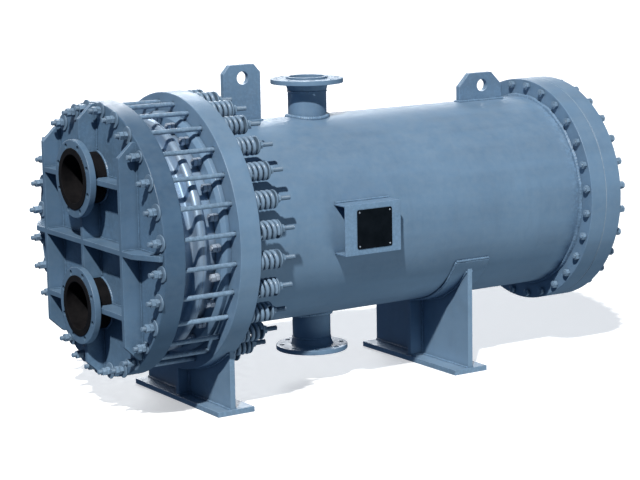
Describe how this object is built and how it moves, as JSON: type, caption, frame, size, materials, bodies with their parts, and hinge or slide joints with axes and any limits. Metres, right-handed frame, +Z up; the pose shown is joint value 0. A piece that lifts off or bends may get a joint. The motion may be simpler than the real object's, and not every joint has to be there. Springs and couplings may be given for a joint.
{
  "type": "hydraulic oil cooler",
  "caption": "Horizontal shell-and-tube oil cooler on two saddles, with a spring-loaded floating head, water nozzles on the head and oil nozzles on the shell.",
  "frame": {"origin": "centre of the bounding box on the floor, midway between the front and rear ends", "axes": "+X runs along the shell from the floating head to the rear cover, +Z is up"},
  "size_m": [1.989, 0.9234, 1.114],
  "materials": {
    "paint": "blue-grey enamel, semi-gloss, sprayed over every outer piece",
    "spring_paint": "light blue-grey enamel over coil springs",
    "bare_steel": "machined steel, unpainted",
    "tube_brass": "drawn tube",
    "packing": "braided packing",
    "gasket": "pale fibre sheet",
    "nameplate_black": "blank black plate"
  },
  "bodies": {
    "shell": {"spring_flange": "paint", "spring_set": "spring_paint", "packing_ring": "packing", "gland_follower": "paint", "shell_barrel": "paint", "rear_shell_flange": "paint", "rear_tubesheet": "bare_steel", "rear_gasket": "gasket", "rear_cover": "paint", "rear_flange_bolts": "paint", "tube_bundle": "tube_brass", "front_baffle": "bare_steel", "rear_baffle": "bare_steel", "top_oil_nozzle": "paint", "bottom_oil_nozzle": "paint", "front_lifting_lug": "paint", "rear_lifting_lug": "paint", "nameplate_bracket": "paint", "nameplate": "nameplate_black", "front_saddle": "paint", "rear_saddle": "paint", "rear_wear_plate": "paint"},
    "floating_head": {"clamp_plate": "paint", "rib_grid": "paint", "upper_water_nozzle": "paint", "lower_water_nozzle": "paint", "water_header": "bare_steel", "header_gasket": "gasket", "floating_tubesheet": "bare_steel", "pass_partition": "bare_steel", "tie_rod_01": "paint", "tie_rod_02": "paint", "tie_rod_03": "paint", "tie_rod_04": "paint", "tie_rod_05": "paint", "tie_rod_06": "paint", "tie_rod_07": "paint", "tie_rod_08": "paint", "tie_rod_09": "paint", "tie_rod_10": "paint", "tie_rod_11": "paint", "tie_rod_12": "paint", "tie_rod_13": "paint", "tie_rod_14": "paint", "tie_rod_15": "paint", "tie_rod_16": "paint", "tie_rod_17": "paint", "tie_rod_18": "paint", "tie_rod_19": "paint", "tie_rod_20": "paint", "tie_rod_21": "paint", "tie_rod_22": "paint", "tie_rod_23": "paint", "tie_rod_24": "paint", "tie_rod_25": "paint", "tie_rod_26": "paint", "tie_rod_27": "paint", "tie_rod_28": "paint"}
  },
  "joints": [
    {"name": "floating_head_slide", "type": "slide", "parent": "shell", "child": "floating_head", "axis": [-1, 0, 0], "range_m": [0, 0.01], "stiffness_N_per_m": 13000000, "springref_m": -0.004, "deforming": ["spring_set"]}
  ]
}
